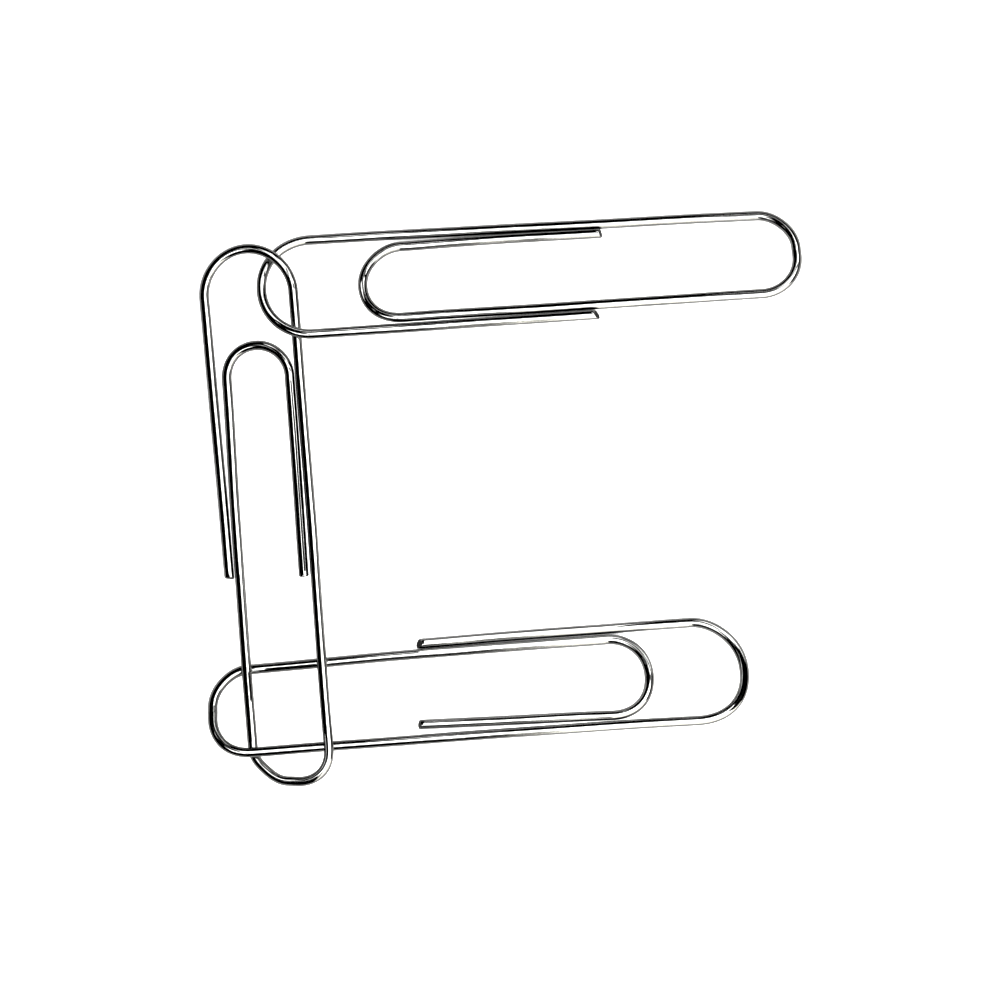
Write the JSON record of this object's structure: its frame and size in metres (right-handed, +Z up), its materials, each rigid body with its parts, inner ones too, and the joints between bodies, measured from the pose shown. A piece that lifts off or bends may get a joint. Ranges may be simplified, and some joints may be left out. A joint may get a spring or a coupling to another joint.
{
  "type": "linked paper clips",
  "caption": "Bright steel double-loop paper clips linked end to end in a C-shaped chain; each bent wire springs open to grip paper, and the linked clips fold over one another.",
  "frame": {"origin": "on the table, below the middle of the chain's box", "axes": "+Z up from the table; +Y along the middle clip, from its crown to its outer bend; +X across the chain, along the lower clip from its crown to its outer bend"},
  "size_m": [0.0572, 0.0502, 0.0044],
  "materials": {
    "bright_plated_wire": "drawn steel wire with bright plating, smooth and mirror-like with faint draw lines"
  },
  "bodies": {
    "lower_inner": {"lower_inner_loop": "bright_plated_wire"},
    "lower_outer": {"lower_outer_loop": "bright_plated_wire"},
    "middle_inner": {"middle_inner_loop": "bright_plated_wire"},
    "middle_outer": {"middle_outer_loop": "bright_plated_wire"},
    "upper_outer": {"upper_outer_loop": "bright_plated_wire"},
    "upper_inner": {"upper_inner_loop": "bright_plated_wire"}
  },
  "joints": [
    {"name": "lower_clip_open", "type": "hinge", "parent": "lower_inner", "child": "lower_outer", "pos_m": [-0.02815, -0.01792, 0.00179], "axis": [0.0101, -0.9625, 0.2712], "range_deg": [0, 10], "stiffness_Nm_per_rad": 0.008},
    {"name": "middle_clip_lift", "type": "hinge", "parent": "lower_outer", "child": "middle_inner", "pos_m": [-0.0248, -0.02177, 0.00189], "axis": [0, -0.9997, 0.0247], "range_deg": [0, 150]},
    {"name": "middle_clip_open", "type": "hinge", "parent": "middle_inner", "child": "middle_outer", "pos_m": [-0.02126, -0.02465, 0.00294], "axis": [0.9638, 0.0066, 0.2666], "range_deg": [0, 10], "stiffness_Nm_per_rad": 0.008},
    {"name": "upper_clip_lift", "type": "hinge", "parent": "middle_outer", "child": "upper_outer", "pos_m": [-0.018, 0.01636, 0.00283], "axis": [0.0076, -0.9996, 0.0268], "range_deg": [0, 150]},
    {"name": "upper_clip_open", "type": "hinge", "parent": "upper_outer", "child": "upper_inner", "pos_m": [0.02815, 0.02043, 0.00208], "axis": [0.004, 0.9268, -0.3755], "range_deg": [0, 10], "stiffness_Nm_per_rad": 0.008}
  ]
}
